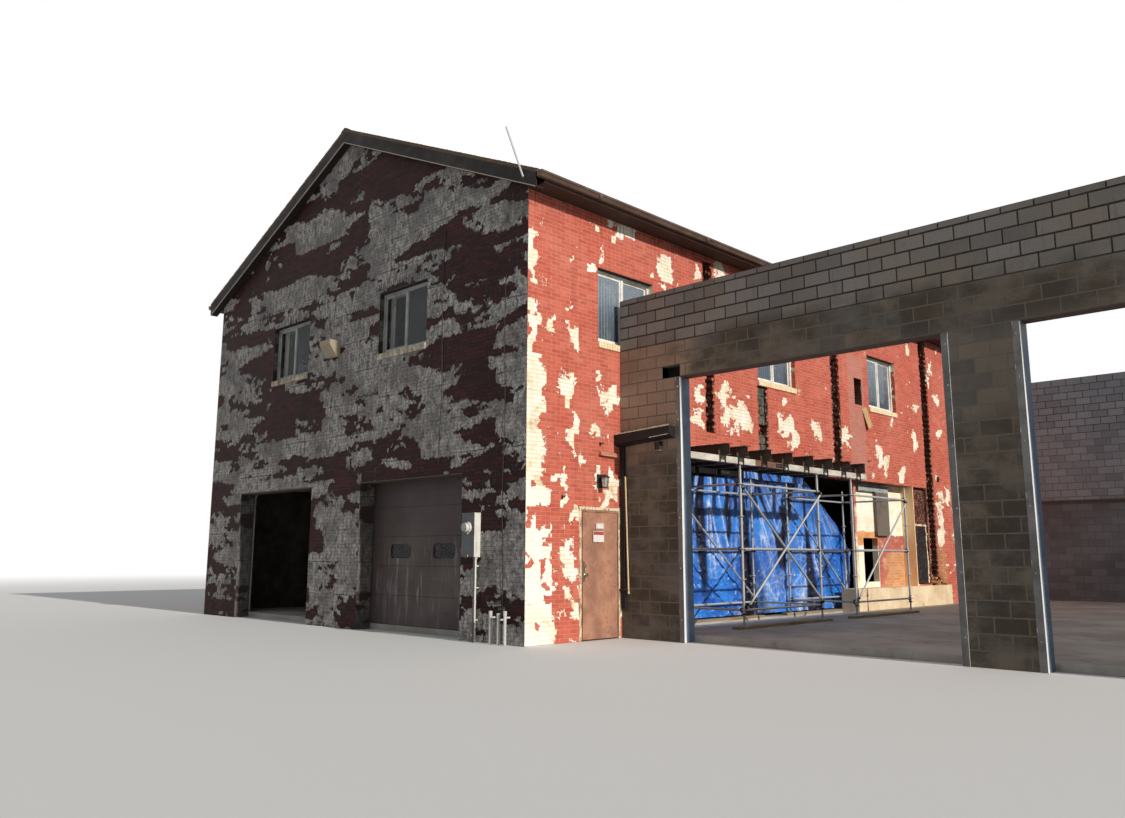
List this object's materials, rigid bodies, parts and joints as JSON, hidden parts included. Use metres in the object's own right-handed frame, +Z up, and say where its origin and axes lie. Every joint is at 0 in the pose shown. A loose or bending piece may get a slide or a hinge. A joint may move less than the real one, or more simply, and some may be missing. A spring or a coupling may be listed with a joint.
{
  "type": "fire station building",
  "caption": "Gabled brick fire station with vehicle bays, a hinged side door, a shored cut in its side wall and a roofless block-wall wing.",
  "frame": {"origin": "middle of the footprint's bounding box, on the ground", "axes": "+X from the brick building towards its block-wall wing, +Y to the back, +Z up; the vehicle bays face -Y"},
  "size_m": [23.6128, 20.225, 10.1029],
  "materials": {
    "painted_brick": "peeling red masonry paint",
    "concrete_block": "raw split block",
    "concrete": "cast concrete",
    "timber": "rough sawn",
    "roofing": "dark shingle",
    "brown_trim": "dark brown paint",
    "window_white": "satin",
    "glass": "clear",
    "dark_steel": "mill scale and rust",
    "tube_steel": "galvanised, worn",
    "jamb_steel": "grey-blue primer",
    "door_brown": "faded brown paint",
    "bay_door_paint": "dusty brown-grey",
    "door_hardware": "worn",
    "meter_grey": "satin",
    "lamp_bronze": "dark bronze",
    "stringer_alloy": "weathered",
    "tarp_blue": "glossy woven sheet",
    "plaster": "painted plaster",
    "brown_post": "dark paint",
    "casing_grey": "satin"
  },
  "bodies": {
    "building": {"base_ledge": "concrete", "bay_door_left": "bay_door_paint", "bay_door_right": "bay_door_paint", "bay_door_tracks": "tube_steel", "bay_head_plates": "dark_steel", "bay_jambs": "jamb_steel", "bay_lintels": "dark_steel", "block_header": "concrete_block", "block_pier_left": "concrete_block", "block_pier_middle": "concrete_block", "block_pier_right": "concrete_block", "block_rear_wall": "concrete_block", "block_side_wall": "concrete_block", "corner_downpipe": "brown_trim", "eaves": "brown_trim", "front_wall": "painted_brick", "front_wall_lamp": "lamp_bronze", "ground_floor_slab": "concrete", "gutters": "brown_trim", "header_angles": "dark_steel", "inner_post": "brown_post", "inner_wall": "plaster", "jamb_board": "timber", "left_wall": "painted_brick", "meter_box": "meter_grey", "meter_conduit": "meter_grey", "needle_beams": "dark_steel", "old_gutter": "brown_trim", "pier_lamp": "lamp_bronze", "rake_boards": "brown_trim", "rear_ledger": "dark_steel", "rear_wall": "painted_brick", "ridge_cap": "roofing", "right_wall_corner": "painted_brick", "right_wall_over_door": "painted_brick", "right_wall_pier": "painted_brick", "right_wall_rear_pier": "painted_brick", "right_wall_upper": "painted_brick", "roof_left_slope": "roofing", "roof_mast": "tube_steel", "roof_right_slope": "roofing", "scaffold_braces": "tube_steel", "scaffold_ledgers": "tube_steel", "scaffold_posts": "tube_steel", "shoring_stringers": "stringer_alloy", "side_door_frame": "door_brown", "side_wall_lamp": "lamp_bronze", "sill_boards": "timber", "tarp": "tarp_blue", "upper_floor": "timber", "wall_trunking": "casing_grey", "window_frames": "window_white", "window_glass": "glass", "window_sills": "painted_brick", "wing_floor_slab": "concrete"},
    "side_door": {"side_door_leaf": "door_brown", "side_door_knob": "door_hardware"}
  },
  "joints": [
    {"name": "side_door_hinge", "type": "hinge", "parent": "building", "child": "side_door", "pos_m": [-0.4264, -7.746, 0], "axis": [0, 0, 1], "range_deg": [0, 85]}
  ]
}
